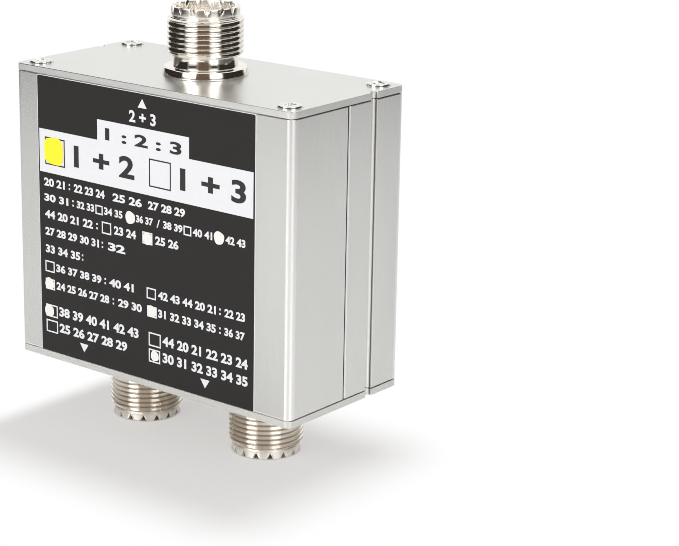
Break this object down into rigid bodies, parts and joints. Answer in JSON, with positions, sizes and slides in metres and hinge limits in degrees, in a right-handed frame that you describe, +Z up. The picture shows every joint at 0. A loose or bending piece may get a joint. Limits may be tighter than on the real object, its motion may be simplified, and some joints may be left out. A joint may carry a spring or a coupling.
{
  "type": "antenna duplexer",
  "caption": "Flat two-band antenna duplexer: a split extruded aluminium case with a threaded coaxial port on top, ports below and a low-pass and high-pass filter inside.",
  "frame": {"origin": "centred under the case in X and Y, on the plane of the lower ports' rims", "axes": "+Z up along the ports, +X to the right across the front, front face towards -Y"},
  "size_m": [0.076, 0.0361, 0.0928],
  "materials": {
    "shell_aluminium": "satin anodised extrusion with faint upright drawing lines",
    "plate_aluminium": "fine matt anodised sheet",
    "screw_steel": "bright zinc plated",
    "label_film": "printed film, semi-matt charcoal with white and yellow ink",
    "port_nickel": "bright nickel plate over turned brass",
    "port_insulator": "white fluoropolymer, turned",
    "contact_metal": "pale gold plated",
    "fixing_steel": "tinned sheet",
    "nut_brass": "nickel plated",
    "board_laminate": "green solder resist over glass laminate",
    "solder": "bright solder",
    "coil_copper": "enamelled copper wire",
    "lowpass_disc": "dipped ochre lacquer",
    "highpass_disc": "dipped blue lacquer"
  },
  "bodies": {
    "root": {"front_shell": "shell_aluminium", "rear_shell": "shell_aluminium", "top_plate": "plate_aluminium", "bottom_plate": "plate_aluminium", "top_plate_screws": "screw_steel", "bottom_plate_screws": "screw_steel", "face_label": "label_film", "antenna_port_shell": "port_nickel", "antenna_port_insulator": "port_insulator", "antenna_port_contact": "contact_metal", "antenna_port_washer": "fixing_steel", "antenna_port_tag": "fixing_steel", "antenna_port_nut": "nut_brass", "low_port_shell": "port_nickel", "low_port_insulator": "port_insulator", "low_port_contact": "contact_metal", "low_port_washer": "fixing_steel", "low_port_tag": "fixing_steel", "low_port_nut": "nut_brass", "high_port_shell": "port_nickel", "high_port_insulator": "port_insulator", "high_port_contact": "contact_metal", "high_port_washer": "fixing_steel", "high_port_tag": "fixing_steel", "high_port_nut": "nut_brass", "filter_board": "board_laminate", "port_solder_joints": "solder", "lowpass_coil_1": "coil_copper", "lowpass_coil_2": "coil_copper", "lowpass_coil_3": "coil_copper", "lowpass_capacitor_1": "lowpass_disc", "lowpass_capacitor_2": "lowpass_disc", "highpass_coil_1": "coil_copper", "highpass_coil_2": "coil_copper", "highpass_capacitor_1": "highpass_disc", "highpass_capacitor_2": "highpass_disc", "highpass_capacitor_3": "highpass_disc"}
  },
  "joints": []
}
